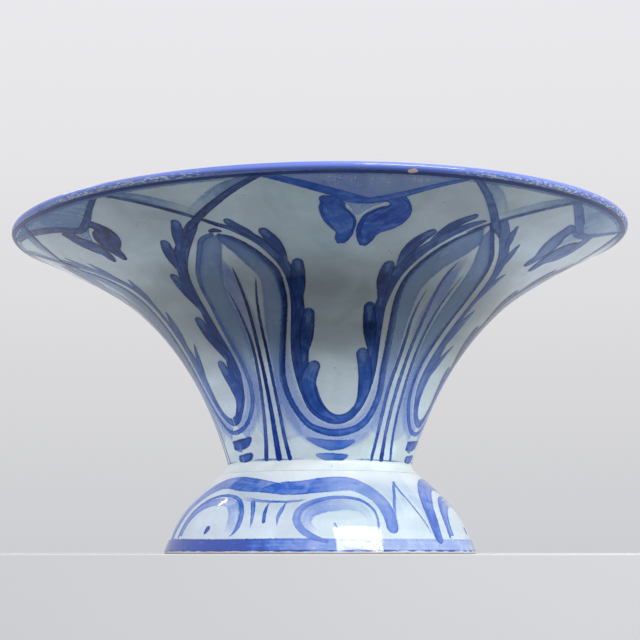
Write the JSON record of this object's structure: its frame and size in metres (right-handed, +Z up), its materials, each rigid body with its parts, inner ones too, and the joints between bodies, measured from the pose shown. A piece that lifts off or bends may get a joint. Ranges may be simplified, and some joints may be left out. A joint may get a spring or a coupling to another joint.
{
  "type": "footed bowl",
  "caption": "Wide trumpet-shaped footed bowl of tin-glazed earthenware with cobalt painting, a flared lip and a hollow spreading foot.",
  "frame": {"origin": "middle of the ring of bare clay that the foot stands on", "axes": "+Z up along the axis of the bowl, +X towards the side where the warped rim stands highest, -Y towards the painted front"},
  "size_m": [0.38, 0.38, 0.1992],
  "materials": {
    "bowl_glaze": "gloss",
    "joint_glaze": "gloss",
    "foot_glaze": "gloss"
  },
  "bodies": {
    "root": {"bowl": "bowl_glaze", "luting_coil": "joint_glaze", "foot": "foot_glaze"}
  },
  "joints": []
}
